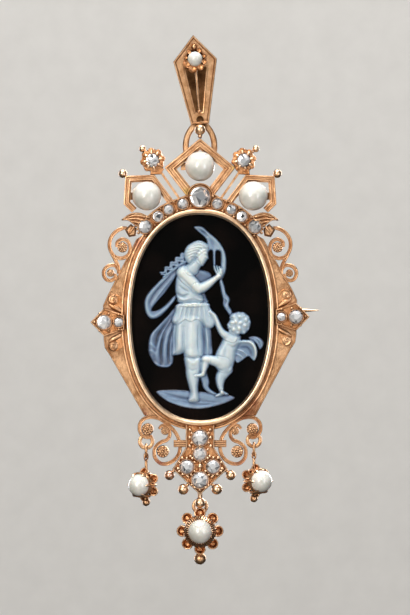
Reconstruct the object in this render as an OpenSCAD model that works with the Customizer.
// Pendant brooch: an onyx cameo in a gold mount with pearls, rose-cut diamonds and three drops.
// The face looks toward -Y, +X is to the right and +Z is up, in millimetres.
// The origin is the top of the bail's loop, where the chain lies.

/* [Oval bezel] */
// Width over the rim
oval_w = 24.8; // [23:0.2:27]
// Height over the rim
oval_h = 36.3; // [34:0.2:39]
// Squareness of the oval, where 2 is a plain ellipse
oval_power = 2.2; // [2.1:0.05:2.4]
// Width of the polished rim
rim_band = 0.95; // [0.8:0.05:1.2]
// Depth of the bezel from front to back
bezel_depth = 5.8; // [5.2:0.1:6.6]
// Thickness of the closed gold back
back_t = 0.6; // [0.4:0.1:0.8]

/* [Cameo] */
// Depth of the onyx below the rim
onyx_recess = 1.8; // [1.6:0.1:2.2]
// Height of the relief over the onyx
relief_h = 1.4; // [1.2:0.1:1.5]

/* [Crown] */
// Height of the crown's apex above the oval
apex_rise = 11.75; // [11.3:0.05:12.2]
// Thickness of the crown, band, lozenges and shield
plate_t = 1.4; // [1.2:0.1:1.6]
// Width of the bars that frame the centre house
house_frame = 1.45; // [1.2:0.05:1.6]
// Width of the bars that frame the side houses
side_frame = 1.1; // [0.9:0.05:1.3]
// Diameter of the centre pearl
centre_pearl_d = 5.0; // [4.6:0.1:5.2]
// Diameter of the two side pearls
side_pearl_d = 4.9; // [4.5:0.1:5.1]

/* [Stones] */
// Diameter of the stone at the middle of the band
band_stone_d = 3.5; // [3.1:0.1:3.7]
// Diameter of the two stones that flank the centre pearl
crown_stone_d = 2.3; // [1.9:0.1:2.5]
// Depth of a stone's seat
seat_depth = 0.5; // [0.4:0.05:0.7]

/* [Wings and scrolls] */
// Thickness of the flat wings
wing_t = 1.1; // [0.9:0.1:1.4]
// Width of the scroll wire
scroll_w = 0.6; // [0.5:0.05:0.7]
// Thickness of the scroll wire
scroll_t = 0.7; // [0.6:0.05:0.9]

/* [Ring and bail] */
// Width of the upright ring behind the crown
ring_w = 5.8; // [5.4:0.1:6.2]
// Height of the upright ring
ring_h = 8.3; // [7.9:0.1:8.7]
// Diameter of the ring's wire
ring_wire = 1.0; // [0.9:0.05:1.05]
// Length from the chain's seat to the ring's axis
bail_drop = 12.85; // [12:0.1:14]
// Inner radius of the loop that the chain passes through
bail_r = 2.8; // [2.6:0.1:3.1]
// Half width of the bail at its shoulders
bail_half = 3.65; // [3.3:0.05:4]
// Height of the bail's point above the chain's seat
bail_tip = 1.75; // [1.6:0.05:2]
// Thickness of the strap
strap_t = 0.5; // [0.4:0.05:0.6]
// Lean of the bail to the left, in degrees
bail_lean = 4.5; // [0:0.5:6]
// Diameter of the bail's pearl
bail_pearl_d = 2.5; // [2.2:0.1:2.7]

/* [Drops] */
// Diameter of the pearl in the centre drop
drop_pearl_d = 4.16; // [3.9:0.02:4.3]
// Diameter of the pearls in the side drops
small_pearl_d = 3.7; // [3.4:0.1:3.8]
// Turn of the side drops outward, in degrees
drop_turn = 30; // [0:2:40]

/* [Pin] */
// Diameter of the brooch pin's stem
pin_d = 0.6; // [0.5:0.05:0.65]
// Length of the pin's point beyond the lozenge
pin_reach = 1.7; // [1:0.1:2.4]

/* [Hidden] */
$fn = 48;

// Gap between two pieces that fit together
gap = 0.08;
// How far soldered parts run into each other
solder = 0.25;
gold = "#c8935f";
pearl_white = "#e6e4dc";

// Depths of the front faces, where 0 is the plane of the ring
rim_w = oval_w / 2;
rim_h = oval_h / 2;
rim_y = -3.4;
back_y = rim_y + bezel_depth;
plate_y = -3.1;
plate_back_y = plate_y + plate_t;
wing_y = -2.3;
wing_back_y = wing_y + wing_t;
scroll_y = -2.4;
scroll_mid_y = scroll_y + scroll_t / 2;
onyx_y = rim_y + onyx_recess;
onyx_back_y = back_y - back_t - gap;
// The figures are drawn for an oval 36.3 units high
figure_unit = oval_h / 36.3;

// The pendant's place: its hinge is the ring's top arc, held in the bail's hook
hinge_x = bail_drop * sin(bail_lean);
hinge_z = -bail_drop * cos(bail_lean);
apex = rim_h + apex_rise;
hinge_rise = 2.5;
hinge_h = apex + hinge_rise;

// The crown's corners as [across, above the oval's top]
corner = [5.9, 6.85];
foot = [2.2, 2.0];
side_house = [[7.6, 5.65], [12.45, 5.45], [12.75, 0.75], [11.35, -0.65], [4.25, 1.15]];
centre_pearl = [0, rim_h + 7.05];
side_pearl = [8.87, rim_h + 2.1];
crown_stone = [7.6, rim_h + 8.05];
// How far both collets stand off the middle, to the left
crown_stone_off = 0.3;
crown_ball = [9.45, rim_h + 10];
crown_ball_d = 1.16;
house_ball = [12.9, rim_h + 5.85];
house_ball_d = 1.44;
apex_ball_d = 1.66;
bar = [[6.5, 6.05], [3.4, 1.6]];
bar_w = 0.28;
centre_pearl_y = plate_y;
side_pearl_y = plate_y;

// The band's stones on each side as [angle round the rim, out from the rim, diameter]
band_stones = [[79.5, 1.1, 1.84], [69.5, 1.0, 1.76], [61, 0.95, 1.9], [50.5, 1.25, 2.3]];
band_out = 2.2;
band_end = 46;
band_centre = [0, rim_h + 1.95];
collar_w = 0.55;

// The wing's outline as [out beyond the oval's side, share of the half height]
wing = [[-4.6, 0.8], [-1.8, 0.722], [3.1, 0.22], [3.8, 0.132], [3.7, -0.165],
    [3.5, -0.253], [2.7, -0.32], [-3.1, -0.904], [-6, -0.86]];
// Points further out than this belong to the swell that carries the lozenge
wing_swell = 2.5;
wing_volutes = [[2, 0.187], [2, -0.234]];
wing_volute_d = 1.9;
lozenge_tip = 5.9;
lozenge_half = 2.35;
lozenge_root = 1.2;
lozenge_mid = 3.6;
lozenge_h = -0.35;
// The right wing's lozenge and volutes stand this much higher, the left one's lower
wing_lift = 0.45;
side_stones = [[1.15, 1.7], [3.6, 2.4]];

// The leaves and tabs at the band's ends, from the rim's shoulder point
shoulder = rim_point(39);
leaf = [[-1.4, 5.6], [1.7, 5.6], [3.3, 4.3], [1.7, 3.6], [0.5, 3.3], [-1.6, 3.6]];
tab = [[1.5, 3.8], [2.5, 2.4], [1.5, 1.2], [0.5, 2.2]];
upper_volute = [3.15, -0.1];
upper_dome_d = 1.7;
small_volute = [5.2, -4.5];
small_dome_d = 1.1;

// The lower scrolls, from the oval's foot
lower_volute = [8.8, -0.45];
inner_volute = [6.3, -4.25];
small_curl = [5.85, -0.75];
lower_dome_d = 2.16;
inner_dome_d = 2.3;
curl_dome_d = 1.6;

// The shield as [across, below the oval's foot]
shield = [[-2.4, 0.4], [2.4, 0.4], [2.4, -3.65], [4.6, -7.15], [0, -11.45], [-4.6, -7.15], [-2.4, -3.65]];
shield_stones = [[0, -1.95, 2.7], [0, -4.6, 2.3], [-2.2, -6.75, 2.4], [2.2, -6.75, 2.4], [0, -8.95, 2.8]];
shield_bead = [0, -6.65, 1.0];
shield_tip = -rim_h - 11.45;
shield_balls = [[5.1, -8.2, 1.5], [2.8, -10.55, 1.66]];
tip_ball_d = 1.66;
cross_bar_h = 1.2;

// The hanging rings: fixed ring, then link, then the drop's own eye
hang_y = 0.2;
hang_ring_r = 1.1;
hang_wire = 0.56;
link_wire = 0.44;
centre_link_r = 0.95;
side_link_r = 1.03;
eye_r = 0.6;
eye_wire = 0.4;
side_ring = [9.0, -rim_h - 2.5];
// The right side ring stands this much higher, the left one lower
ring_lift = 0.12;
centre_ring = [0, shield_tip - 2.08];
// How far the fixed ring, the link and the eye settle into each other
ring_play = 0.15;
centre_link_h = centre_ring[1] - hang_ring_r + hang_wire / 2 + link_wire / 2 + ring_play - centre_link_r;
side_link_h = side_ring[1] - hang_ring_r + hang_wire / 2 + link_wire / 2 + ring_play - side_link_r;
centre_eye_h = centre_link_h - centre_link_r + link_wire / 2 + eye_wire / 2 + ring_play - eye_r;
side_eye_h = side_link_h - side_link_r + link_wire / 2 + eye_wire / 2 + ring_play - eye_r;
centre_stem = 1.62;
centre_cup = [0, hang_y, centre_eye_h - centre_stem];
left_stem = 4.6;
right_stem = 4.2;
// A calyx as [lobes, ring of the lobes, lobe, depth of the lobes, pearl ahead of them, ball below, ball]
centre_calyx = [8, 2.95, 1.62, 2.1, 1.2, 4.75, 2.0];
side_calyx = [6, 2.05, 1.5, 0.5, 1.8, 2.95, 1.32];
// The cup's cone starts this far behind its stem's axis
cup_back = 0.4;
stem_d = 0.55;

// The pin's bearing and catch stand behind the lozenges
pin_at = rim_w + 2.6;
pin_h = 1.15;
pin_y = back_y + 0.8;
lug_w = 1.6;
knuckle_r = 0.7;
rivet_r = 0.25;

// Hook of the bail round the ring's top arc
hook_r = ring_wire / 2 + 0.3;
hook_half = 0.8;
bail_plate_t = 0.65;
bail_rim_t = 0.25;
bail_rim_w = 0.4;
bail_angle = asin((bail_r - hook_r) / (bail_drop - bail_r));
bail_shoulder = -2.4;
bail_foot = [1.5, -bail_drop - 0.1];
bail_window = [[1.8, -3.6], [0.6, -11]];
bail_pearl_at = -2.25;
bail_pearl_y = -bail_drop_y(bail_pearl_at) - bail_pearl_d / 2 + 0.35;

// How far the bail's plate stands forward at height z, on its outer face
function bail_drop_y(z) = (hook_r + bail_plate_t) / cos(bail_angle) + (z + bail_drop) * tan(bail_angle);

// A point on the oval's outline at an angle, moved outward along its normal
function rim_point(a, out = 0) =
    let (x = rim_w * sign(cos(a)) * pow(abs(cos(a)), 2 / oval_power),
        y = rim_h * sign(sin(a)) * pow(abs(sin(a)), 2 / oval_power),
        nx = sign(x) * pow(abs(x) / rim_w, oval_power - 1) / rim_w,
        ny = sign(y) * pow(abs(y) / rim_h, oval_power - 1) / rim_h)
    [x, y] + out * [nx, ny] / norm([nx, ny]);

// The oval's outline, moved outward or inward by a distance
function oval(out = 0, n = 72) = [for (i = [0:n - 1]) rim_point(360 * (i + 0.5) / n, out)];

// A spiral from radius r0 at angle a0 to r1 at a1, turning faster as it closes
function volute(c, a0, a1, r0, r1, fall = 1.6, step = 18) =
    let (n = ceil(abs(a1 - a0) / step))
    [for (i = [0:n]) let (s = i / n, a = a0 + (a1 - a0) * s, r = r1 + (r0 - r1) * pow(1 - s, fall))
        c + r * [cos(a), sin(a)]];

// The side of a path at a distance, for drawing a wire of even width
function path_side(p, d) = [for (i = [0:len(p) - 1])
    let (a = p[max(i - 1, 0)], b = p[min(i + 1, len(p) - 1)], v = (b - a) / norm(b - a))
    p[i] + d * [-v[1], v[0]]];
function reversed(p) = [for (i = [len(p) - 1:-1:0]) p[i]];
function flip(p, s) = [for (q = p) [s * q[0], q[1]]];
function lifted(p, h) = [for (q = p) [q[0], q[1] + h]];

module wire(p, w) polygon(concat(path_side(p, w / 2), reversed(path_side(p, -w / 2))));

// A flat outline of the face, given thickness between two depths
module slab(front, back) translate([0, back, 0]) rotate([90, 0, 0]) linear_extrude(back - front) children();

module disc(at, d, front, back) translate([at[0], back, at[1]]) rotate([90, 0, 0])
    cylinder(h = back - front, d = d);

module ball(at, d, y) translate([at[0], y, at[1]]) sphere(d = d);

// An upright ring that faces the viewer, or shows its edge
module face_ring(r, w) rotate([90, 0, 0]) rotate_extrude() translate([r, 0]) circle(d = w, $fn = 24);
module edge_ring(r, w) rotate([0, 90, 0]) rotate_extrude() translate([r, 0]) circle(d = w, $fn = 24);

// The pendant's own frame: its origin is the middle of the oval
module in_face() translate([hinge_x, 0, hinge_z - hinge_h]) children();

// A rose-cut stone with a table, its flat base on the seat's floor
module rose(at, d, front) translate([at[0], front + seat_depth - gap, at[1]]) rotate([90, 0, 0]) hull() {
    cylinder(h = 0.15 * d, d = d, $fn = 12);
    rotate([0, 0, 15]) cylinder(h = 0.34 * d, d = 0.72 * d, $fn = 12);
    cylinder(h = 0.42 * d, d = 0.4 * d, $fn = 6);
}
module seat(at, d, front) disc(at, d + 2 * gap, front - 1, front + seat_depth);

module pearl(at, d, y) color(pearl_white) ball(at, d, y);

function band_stone(i, s) = let (b = band_stones[i - 1], p = rim_point(b[0], b[1])) [s * p[0], p[1]];
function side_stone(i, s) = [s * (rim_w + side_stones[i][0]), lozenge_h + s * wing_lift];
function crown_stone_at(s) = [s * crown_stone[0] - crown_stone_off, crown_stone[1]];
function shield_stone(i) = [shield_stones[i][0], -rim_h + shield_stones[i][1]];

module band_diamond(i, s) color("#c6cdd4") in_face() rose(band_stone(i, s), band_stones[i - 1][2], plate_y);
module crown_diamond(s) color("#c6cdd4") in_face() rose(crown_stone_at(s), crown_stone_d, plate_y);
module side_diamond(i, s) color("#c6cdd4") in_face() rose(side_stone(i, s), side_stones[i][1], plate_y);
module shield_diamond(i) color("#c6cdd4") in_face() rose(shield_stone(i), shield_stones[i][2], plate_y);
module band_diamond_centre() color("#c6cdd4") in_face() rose(band_centre, band_stone_d, plate_y);

module crown_pearl_centre() in_face() pearl(centre_pearl, centre_pearl_d, centre_pearl_y);
module crown_pearl(s) in_face() pearl([s * side_pearl[0], side_pearl[1]], side_pearl_d, side_pearl_y);

// The bail: a pierced front plate, and a strap that loops over the chain and hooks round the ring
module bail_kite(inset = 0) {
    offset(delta = -inset) polygon([[0, bail_tip], [bail_half, bail_shoulder], bail_foot,
        [-bail_foot[0], bail_foot[1]], [-bail_half, bail_shoulder]]);
}

// Outline of the loop from the side, as [depth, height], at a distance outside its inner face
function bail_side(t) = concat(
    [for (a = [-bail_angle:15:180 + bail_angle]) [0, -bail_r] + (bail_r + t) * [cos(a), sin(a)]],
    [for (a = [180 + bail_angle:15:360 - bail_angle]) [0, -bail_drop] + (hook_r + t) * [cos(a), sin(a)]]);

module bail_strap() intersection() {
    rotate([90, 0, 90]) translate([0, 0, -bail_half]) linear_extrude(2 * bail_half) difference() {
        polygon(bail_side(strap_t));
        polygon(bail_side(0));
    }
    slab(-20, 20) polygon([[-hook_half, -bail_drop - 3], [hook_half, -bail_drop - 3],
        [hook_half, -bail_drop + 1], [bail_half - 1.3, bail_shoulder], [0.9, 0.75],
        [-0.9, 0.75], [1.3 - bail_half, bail_shoulder], [-hook_half, -bail_drop + 1]]);
}

module bail_slab(t) translate([0, 0, -bail_drop]) rotate([bail_angle, 0, 0])
    translate([-bail_half - 1, -hook_r - t, -1]) cube([2 * bail_half + 2, t + 0.04, bail_drop + 4]);

module bail_window_cut() {
    w = bail_window;
    polygon([[-w[0][0], w[0][1]], [w[0][0], w[0][1]], [w[1][0], w[1][1]], [-w[1][0], w[1][1]]]);
}

// The dish and claws that hold the bail's pearl
module bail_collet(r) {
    claw = 0.3;
    disc([0, bail_pearl_at], 2 * (r + claw), bail_pearl_y + claw, bail_pearl_y + r + 0.4);
    for (a = [45:90:315])
        ball([0, bail_pearl_at] + (r + claw) * [cos(a), sin(a)], 0.75, bail_pearl_y + claw);
    ball([0, bail_pearl_at + 1.9], 0.9, bail_pearl_y + r - 0.15);
}

module bail() color(gold) rotate([0, -bail_lean, 0]) {
    rib_w = 0.26;
    difference() {
        union() {
            intersection() { bail_slab(bail_plate_t); slab(-9, 9) bail_kite(); }
            intersection() {
                bail_slab(bail_plate_t + bail_rim_t);
                slab(-9, 9) difference() { bail_kite(); bail_kite(bail_rim_w); }
            }
            bail_strap();
            bail_collet(bail_pearl_d / 2);
        }
        slab(-9, -0.9) bail_window_cut();
        translate([0, bail_pearl_y, bail_pearl_at]) sphere(d = bail_pearl_d + 2 * gap);
    }
    intersection() {
        bail_slab(bail_plate_t - 0.1);
        slab(-9, 9) polygon([[-rib_w, bail_pearl_at - 1], [rib_w, bail_pearl_at - 1],
            [rib_w / 2, bail_window[1][1] - 0.3], [-rib_w / 2, bail_window[1][1] - 0.3]]);
    }
}
module bail_pearl() rotate([0, -bail_lean, 0]) pearl([0, bail_pearl_at], bail_pearl_d, bail_pearl_y);

// The bezel's wall and closed back
module bezel() {
    slab(rim_y, back_y) polygon(oval());
    slab(wing_y - 0.3, wing_back_y) difference() { polygon(oval(0.95)); polygon(oval(-0.2)); }
}

// The upright ring is an oval of four arcs, soldered to the crown's back by two posts
module hanging_ring() {
    r = (ring_w - ring_wire) / 2;
    half = (ring_h - ring_wire) / 2;
    tip_r = 0.7 * r;
    side_r = ((half - tip_r) * (half - tip_r) + r * r - tip_r * tip_r) / (2 * (r - tip_r));
    turn = atan((half - tip_r) / (side_r - r));
    translate([0, 0, hinge_h - half]) for (s = [0, 180]) rotate([0, s, 0]) {
        translate([0, 0, half - tip_r]) rotate([90, -turn, 0])
            rotate_extrude(angle = 180 - 2 * turn) translate([tip_r, 0]) circle(d = ring_wire, $fn = 32);
        translate([r - side_r, 0, 0]) rotate([90, turn, 0])
            rotate_extrude(angle = 2 * turn) translate([side_r, 0]) circle(d = ring_wire, $fn = 32);
    }
    for (s = [-1, 1]) disc([s * r, apex - 2.9], ring_wire, plate_back_y - solder, 0);
}

module crown_house() {
    h = rim_h;
    outline = [[0, apex], [corner[0], h + corner[1]], [foot[0], h + foot[1]],
        [-foot[0], h + foot[1]], [-corner[0], h + corner[1]]];
    slab(plate_y, plate_back_y) difference() {
        polygon(outline);
        offset(delta = -house_frame) polygon(outline);
    }
    ball([0, apex + 0.35], 0.9, plate_y + plate_t / 2);
    ball([0, hinge_h - 1.08], apex_ball_d, plate_y + 0.5);
    disc(centre_pearl, 3, centre_pearl_y + centre_pearl_d / 2 - 0.9, -0.3);
}

// A side house is open at its foot, where the band closes it
module house(s) {
    outline = flip(lifted(side_house, rim_h), s);
    drop = [0, -2.4];
    opening = [outline[0], outline[1], outline[2], outline[3] + drop, outline[4] + drop];
    slab(plate_y, plate_back_y) difference() {
        polygon(outline);
        offset(delta = -side_frame) polygon(opening);
    }
    at = [s * side_pearl[0], side_pearl[1]];
    disc(at, 3, side_pearl_y + side_pearl_d / 2 - 0.9, side_pearl_y + side_pearl_d / 2 + 0.5);
    slab(plate_back_y - solder, side_pearl_y + side_pearl_d / 2 + 0.5)
        translate(at + [s * 1.6, 0]) square([4.2, 1.2], center = true);
    ball([s * house_ball[0], house_ball[1]], house_ball_d, plate_y + plate_t / 2);
}

// The collet beside the centre house, with its prongs and ball, and the thin bar under it
module crown_collet(s) {
    at = crown_stone_at(s);
    disc(at, crown_stone_d + 1.2, plate_y, plate_back_y);
    for (a = [0:45:315]) ball(at + (crown_stone_d / 2 + 0.62) * [cos(a), sin(a)], 0.84, plate_y + 0.35);
    slab(plate_y + 0.2, plate_back_y) polygon(flip([[5.6, crown_stone[1] - 1.2], [6.5, crown_stone[1] - 2.5],
        [8.9, crown_stone[1] - 2.6], [8.6, crown_stone[1] - 1]], s));
    slab(plate_y + 0.4, plate_back_y) wire(flip(lifted(bar, rim_h), s), bar_w);
    tip = [s * crown_ball[0] - crown_stone_off / 2, crown_ball[1]];
    slab(plate_y + 0.4, plate_back_y) wire([at, tip], 0.5);
    ball(tip, crown_ball_d, plate_y + plate_t / 2);
}

module arc_band() {
    arc = [for (a = [band_end:4:181 - band_end]) a];
    slab(plate_y, plate_back_y) polygon(concat([for (a = arc) rim_point(a, band_out)],
        reversed([for (a = arc) rim_point(a, -solder)])));
    disc(band_centre, band_stone_d + 2 * collar_w, plate_y - 0.2, plate_back_y);
}

module leaf_and_tab(s) {
    slab(plate_y + 0.1, plate_back_y) polygon(flip([for (p = leaf) p + shoulder], s));
    slab(plate_y + 0.2, wing_back_y) polygon(flip([for (p = tab) p + shoulder], s));
}

module wing_plate(s) {
    slab(wing_y, wing_back_y) polygon([for (p = wing)
        [s * (rim_w + p[0]), rim_h * p[1] + (p[0] > wing_swell ? s * wing_lift : 0)]]);
    lift = s * wing_lift;
    for (v = wing_volutes) {
        at = [s * (rim_w + v[0]), rim_h * v[1] + lift];
        disc(at, wing_volute_d, wing_y - 0.5, wing_y + solder);
        ball(at, wing_volute_d * 0.6, wing_y - 0.5);
    }
    slab(plate_y, wing_back_y - 0.1) polygon([for (p = [[lozenge_tip, 0], [lozenge_mid, lozenge_half],
        [0, lozenge_root], [0, -lozenge_root], [lozenge_mid, -lozenge_half]])
        [s * (rim_w + p[0]), lozenge_h + lift + p[1]]]);
}

module upper_scroll(s) {
    big = shoulder + upper_volute;
    small = shoulder + small_volute;
    slab(scroll_y, scroll_y + scroll_t) {
        wire(flip(concat([shoulder + [1.5, 2.6]], volute(big, 102, -300, 3.1, 0.98)), s), scroll_w);
        wire(flip(concat([big + [1.8, -1.1], small + [-0.55, 1.9]],
            volute(small, 170, 480, 1.4, 0.7, 1)), s), scroll_w);
    }
    for (v = [[big, upper_dome_d], [small, small_dome_d]]) {
        at = [s * v[0][0], v[0][1]];
        disc(at, v[1], scroll_y, scroll_y + scroll_t);
        ball(at, v[1] * 0.9, scroll_y);
    }
}

module lower_scroll(s) {
    base = [0, -rim_h];
    outer = base + lower_volute;
    inner = base + inner_volute;
    curl = base + small_curl;
    slab(scroll_y, scroll_y + scroll_t) {
        wire(flip(concat(volute(outer, -20, 130, 1.3, 2.35, 1), [base + [5.4, 0.3], base + [4.15, -0.95],
            base + [3.45, -2.35]], volute(inner, 175, 440, 3.0, 1.25, 1.7)), s), scroll_w);
        wire(flip(volute(curl, 290, 170, 1.75, 0.85, 1), s), scroll_w);
    }
    for (v = [[outer, lower_dome_d], [inner, inner_dome_d], [curl, curl_dome_d]]) {
        at = [s * v[0][0], v[0][1]];
        disc(at, v[1], scroll_y + 0.05, scroll_y + scroll_t - 0.05);
        ball(at, v[1] * 0.9, scroll_y + 0.1);
    }
    translate([s * side_ring[0], scroll_mid_y, side_ring[1] + s * ring_lift])
        face_ring(hang_ring_r, hang_wire);
}

module shield_plate() {
    slab(plate_y, plate_back_y) polygon(lifted(shield, -rim_h));
    ball([shield_bead[0], -rim_h + shield_bead[1]], shield_bead[2], plate_y);
    for (s = [-1, 1]) {
        // Ribbed bar from the shield to the scroll
        translate([s * 3.4, scroll_mid_y, -rim_h - 2.9]) cube([2.6, 1, cross_bar_h], center = true);
        for (i = [-1:1]) translate([s * 3.3, scroll_mid_y, -rim_h - 2.9 + 0.42 * i])
            cube([1.9, 1.4, 0.26], center = true);
        for (b = shield_balls) {
            at = [s * b[0], -rim_h + b[1]];
            ball(at, b[2], plate_y + plate_t / 2);
            slab(plate_y + 0.4, plate_back_y - 0.3) wire([at, at + [-s * 1.1, 1.15]], 0.5);
        }
    }
    ball([0, shield_tip - 1.33], tip_ball_d, plate_y + 0.7);
    slab(plate_y + 0.4, plate_back_y - 0.3) wire([[0, shield_tip + 0.6], [0, shield_tip - 0.9]], 0.6);
    // Ring behind the tip, on a short bracket
    translate([centre_ring[0], hang_y, centre_ring[1]]) face_ring(hang_ring_r, hang_wire);
    bracket = centre_ring[1] + hang_ring_r;
    translate([-0.4, plate_back_y - solder, bracket - 0.2]) cube([0.8, hang_y - plate_back_y + 0.4, 1.5]);
}

// Posts behind the lozenges: a slotted lug with its rivet at the left, an open catch at the right
module pin_fittings() {
    post_d = 1.5;
    disc([-pin_at, pin_h], post_d, wing_back_y - solder, pin_y - knuckle_r - 0.1);
    disc([pin_at, pin_h], post_d, wing_back_y - solder, pin_y - pin_d / 2 - 0.3);
    difference() {
        translate([-pin_at - lug_w / 2, pin_y - 0.95, pin_h - 1.05]) cube([lug_w, 1.8, 2.1]);
        translate([-pin_at - lug_w, pin_y - knuckle_r - 0.05, pin_h - 0.5]) cube([2 * lug_w, 3, 1]);
    }
    translate([-pin_at, pin_y, pin_h - 1]) cylinder(h = 2, r = rivet_r);
    translate([pin_at - 0.9, pin_y, pin_h]) rotate([0, 90, 0]) difference() {
        cylinder(h = 1.8, r = pin_d / 2 + 0.5);
        translate([0, 0, -1]) cylinder(h = 4, r = pin_d / 2 + 0.12);
        translate([0, -pin_d / 2 - 0.12, -1]) cube([3, pin_d + 0.24, 4]);
    }
}

module brooch_pin() color(gold) in_face() difference() {
    tip = rim_w + lozenge_tip + pin_reach;
    cone = 2.4;
    union() {
        translate([-pin_at, pin_y, pin_h - 0.42]) cylinder(h = 0.84, r = knuckle_r);
        translate([-pin_at, pin_y, pin_h]) rotate([0, 90, 0]) cylinder(h = pin_at + tip - cone, d = pin_d);
        translate([tip - cone - 0.01, pin_y, pin_h]) rotate([0, 90, 0])
            cylinder(h = cone, d1 = pin_d, d2 = 0.1);
    }
    translate([-pin_at, pin_y, pin_h - 2]) cylinder(h = 4, r = rivet_r + gap);
}

module gold_mount() color(gold) in_face() difference() {
    union() {
        bezel();
        hanging_ring();
        crown_house();
        arc_band();
        shield_plate();
        pin_fittings();
        for (s = [-1, 1]) {
            house(s);
            crown_collet(s);
            leaf_and_tab(s);
            wing_plate(s);
            upper_scroll(s);
            lower_scroll(s);
        }
    }
    slab(rim_y - 1, back_y - back_t) polygon(oval(-rim_band));
    seat(band_centre, band_stone_d, plate_y);
    for (s = [-1, 1]) {
        for (i = [1:4]) seat(band_stone(i, s), band_stones[i - 1][2], plate_y);
        for (i = [0, 1]) seat(side_stone(i, s), side_stones[i][1], plate_y);
        seat(crown_stone_at(s), crown_stone_d, plate_y);
        ball([s * side_pearl[0], side_pearl[1]], side_pearl_d + 2 * gap, side_pearl_y);
    }
    for (i = [0:4]) seat(shield_stone(i), shield_stones[i][2], plate_y);
    ball(centre_pearl, centre_pearl_d + 2 * gap, centre_pearl_y);
}

module onyx_ground() color("#14100e") in_face() slab(onyx_y, onyx_back_y) polygon(oval(-rim_band - gap));

// One rounded mass of the relief between two points, each [across, up, radius, share of the height],
// where the first three are counted in the figures' unit
module mass(a, b) hull() for (p = [a, b]) translate([p[0] * figure_unit, onyx_y, p[1] * figure_unit])
    scale([1, relief_h * p[3] / (p[2] * figure_unit), 1]) sphere(r = p[2] * figure_unit, $fn = 14);

// A run of masses through several points
module limb(points) for (i = [1:len(points) - 1]) mass(points[i - 1], points[i]);

module woman() {
    // Head and the knot of hair, neck and hair that flies back
    mass([-0.3, 10.6, 1.2, 0.95], [0.1, 10.2, 1.05, 0.95]);
    limb([[-1.2, 11.2, 0.9, 0.85], [-2.6, 9.6, 0.7, 0.5], [-4.6, 8.2, 0.5, 0.35], [-6.4, 6.8, 0.3, 0.25]]);
    mass([-0.6, 9.4, 0.7, 0.8], [-1.2, 8.2, 0.9, 0.8]);
    // Trunk from the shoulders to the waist
    mass([-2.6, 7.4, 1.4, 1], [-1.2, 7.0, 1.3, 0.8]);
    mass([-2.4, 6.6, 1.4, 1], [-1.9, 3.4, 1.35, 0.9]);
    // Near arm bent up to the bow, far arm behind it
    limb([[-2.8, 7.2, 1.1, 1], [-0.2, 4.2, 0.85, 1], [2.9, 6.4, 0.55, 0.9], [3.6, 7.0, 0.6, 0.85]]);
    limb([[-0.6, 6.4, 1.0, 0.5], [1.8, 6.0, 0.6, 0.5], [2.6, 9.6, 0.45, 0.6]]);
    // Tunic over the hips, down to its hem at the knees
    mass([-2.4, 2.0, 1.7, 0.85], [-1.0, 1.8, 1.9, 0.85]);
    mass([-2.8, -1.0, 1.9, 0.9], [0.6, -0.8, 1.8, 0.75]);
    mass([-3.2, -5.0, 1.3, 0.7], [1.1, -5.0, 1.2, 0.5]);
    mass([-2.8, -1.0, 1.9, 0.9], [-2.6, -5.2, 1.4, 0.85]);
    mass([0.6, -0.8, 1.8, 0.7], [0.6, -5.0, 1.4, 0.55]);
    mass([1.4, 1.4, 1.0, 0.5], [1.4, -0.4, 0.9, 0.45]);
    // Standing leg and the foot behind it
    limb([[-1.4, -6.2, 1.3, 0.95], [-1.6, -9.0, 0.95, 0.9], [-1.4, -12.6, 0.6, 0.85],
        [-1.3, -13.8, 0.6, 0.85]]);
    limb([[0.4, -6.4, 0.9, 0.4], [0.6, -10.6, 0.6, 0.4], [1.8, -12.6, 0.4, 0.4]]);
}

module mantle() {
    // The loop that blows out behind the back
    limb([[-2.8, 8.8, 0.7, 0.35], [-5.6, 6.4, 0.8, 0.35], [-8.2, 3.4, 0.8, 0.35], [-8.8, 1.6, 0.7, 0.35],
        [-8.0, 0.4, 0.5, 0.3], [-6.0, 1.2, 0.6, 0.3], [-4.0, 3.4, 0.7, 0.35]]);
    // The hanging part, in three long folds
    for (f = [[-7.6, -2.2, -7.4, -5.4], [-6.2, -1.8, -6.3, -7.0], [-4.8, -1.4, -4.9, -7.0]])
        limb([[-4.0, 2.2, 0.6, 0.4], [f[0], f[1], 0.85, 0.35], [f[2], f[3], 0.75, 0.3]]);
}

module bow_and_band() {
    limb([[-0.6, 15.2, 0.35, 0.3], [1.6, 13.8, 0.5, 0.4], [3.6, 11.8, 0.75, 0.45], [4.4, 9.4, 0.7, 0.45],
        [3.8, 7.2, 0.6, 0.6]]);
    limb([[3.9, 6.6, 0.5, 0.4], [4.6, 3.4, 0.55, 0.35], [4.0, 1.8, 0.35, 0.3], [4.9, 0.2, 0.4, 0.3]]);
}

module winged_child() {
    mass([6.2, -0.9, 1.9, 0.9], [7.2, -1.2, 1.8, 0.9]);
    limb([[4.4, -3.2, 1.0, 0.7], [2.4, -1.8, 0.6, 0.6], [1.8, 0.4, 0.45, 0.6]]);
    limb([[5.2, -3.6, 1.4, 0.8], [4.6, -6.6, 1.5, 0.85], [4.8, -8.4, 1.3, 0.8]]);
    limb([[4.4, -7.0, 1.1, 0.8], [1.0, -6.8, 0.8, 0.8], [0.8, -9.2, 0.6, 0.7], [0.0, -9.6, 0.4, 0.6]]);
    limb([[5.0, -8.6, 1.1, 0.75], [4.4, -11.0, 0.7, 0.7], [3.6, -12.8, 0.5, 0.65]]);
    // Near wing, then the far one
    limb([[6.0, -4.0, 0.8, 0.7], [8.2, -3.8, 1.0, 0.6], [8.8, -6.0, 0.6, 0.45]]);
    mass([6.6, -6.2, 0.8, 0.4], [7.4, -5.4, 0.9, 0.4]);
    mass([8.8, -3.0, 0.7, 0.25], [9.5, -3.8, 0.6, 0.25]);
}

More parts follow.
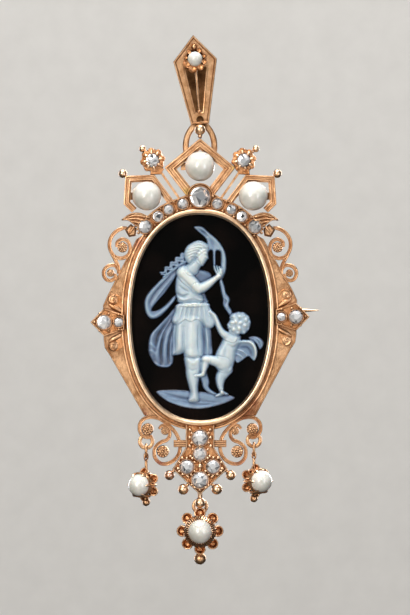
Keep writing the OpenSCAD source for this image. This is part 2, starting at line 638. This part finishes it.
// The ground under the feet is the lower part of a flat lens
module ground_line() intersection() {
    translate([-0.8 * figure_unit, onyx_y, -12.2 * figure_unit])
        scale([7.4 * figure_unit, relief_h * 0.45, 2.9 * figure_unit]) sphere(r = 1, $fn = 24);
    translate([-rim_w, onyx_y - 3, -rim_h]) cube([oval_w, 6, rim_h - 12.4 * figure_unit]);
}

// The figures stand proud of the onyx, and their flat backs lie on it with a hair of room
module cameo_figures() color("#c8d3da") in_face() intersection() {
    union() { woman(); mantle(); bow_and_band(); winged_child(); ground_line(); }
    translate([-rim_w, onyx_y - 2 * relief_h, -rim_h]) cube([oval_w, 2 * relief_h - 0.01, oval_h]);
}

// A calyx cup on its stem: lobes round the pearl, a collar that holds it and a ball below
module calyx(c, pearl_d) difference() {
    ring = c[1];
    depth = c[3];
    ahead = c[4];
    union() {
        translate([0, cup_back, 0]) rotate([90, 0, 0])
            cylinder(h = depth + cup_back + 0.05, r1 = 0.6, r2 = ring - 0.1);
        for (i = [0:c[0] - 1]) let (a = 90 + 360 * i / c[0])
            ball(ring * [cos(a), sin(a)], c[2], -depth);
        translate([0, -depth, 0]) rotate([90, 0, 0])
            cylinder(h = ahead - 0.6, r1 = ring - 0.75, r2 = pearl_d / 2 + 0.25);
        translate([0, 0, -c[5]]) sphere(d = c[6]);
        translate([0, 0, -c[5]]) cylinder(h = c[5], d = stem_d);
    }
    translate([0, -depth - ahead, 0]) sphere(d = pearl_d + 2 * gap);
}

module centre_link() color(gold) in_face() translate([0, hang_y, centre_link_h])
    edge_ring(centre_link_r, link_wire);
module centre_drop() color(gold) in_face() {
    translate([0, hang_y, centre_eye_h]) face_ring(eye_r, eye_wire);
    translate(centre_cup) {
        calyx(centre_calyx, drop_pearl_d);
        cylinder(h = centre_eye_h - eye_r - centre_cup[2] + 0.1, d = stem_d);
    }
}
module centre_drop_pearl() color(pearl_white) in_face()
    translate(centre_cup - [0, centre_calyx[3] + centre_calyx[4], 0]) sphere(d = drop_pearl_d);

module at_side_ring(s) in_face() translate([s * side_ring[0], scroll_mid_y, s * ring_lift]) children();
module side_link(s) color(gold) at_side_ring(s) translate([0, 0, side_link_h])
    edge_ring(side_link_r, link_wire);
module side_drop(s, stem) color(gold) at_side_ring(s) {
    translate([0, 0, side_eye_h]) face_ring(eye_r, eye_wire);
    translate([0, 0, side_eye_h - stem]) {
        cylinder(h = stem - eye_r + 0.1, d = stem_d);
        rotate([0, 0, s * drop_turn]) calyx(side_calyx, small_pearl_d);
    }
}
module side_drop_pearl(s, stem) color(pearl_white) at_side_ring(s)
    translate([0, 0, side_eye_h - stem]) rotate([0, 0, s * drop_turn])
    translate([0, -side_calyx[3] - side_calyx[4], 0]) sphere(d = small_pearl_d);

bail();
bail_pearl();
gold_mount();
onyx_ground();
cameo_figures();
brooch_pin();
crown_pearl_centre();
crown_pearl(-1);  // crown_pearl_left
crown_pearl(1);  // crown_pearl_right
crown_diamond(-1);  // crown_diamond_left
crown_diamond(1);  // crown_diamond_right
band_diamond_centre();
band_diamond(1, -1);  // band_diamond_left_1
band_diamond(2, -1);  // band_diamond_left_2
band_diamond(3, -1);  // band_diamond_left_3
band_diamond(4, -1);  // band_diamond_left_4
band_diamond(1, 1);  // band_diamond_right_1
band_diamond(2, 1);  // band_diamond_right_2
band_diamond(3, 1);  // band_diamond_right_3
band_diamond(4, 1);  // band_diamond_right_4
side_diamond(0, -1);  // side_diamond_left_inner
side_diamond(1, -1);  // side_diamond_left_outer
side_diamond(0, 1);  // side_diamond_right_inner
side_diamond(1, 1);  // side_diamond_right_outer
shield_diamond(0);  // shield_diamond_top
shield_diamond(1);  // shield_diamond_middle
shield_diamond(2);  // shield_diamond_left
shield_diamond(3);  // shield_diamond_right
shield_diamond(4);  // shield_diamond_bottom
centre_link();
centre_drop();
centre_drop_pearl();
side_link(-1);  // left_link
side_drop(-1, left_stem);  // left_drop
side_drop_pearl(-1, left_stem);  // left_drop_pearl
side_link(1);  // right_link
side_drop(1, right_stem);  // right_drop
side_drop_pearl(1, right_stem);  // right_drop_pearl
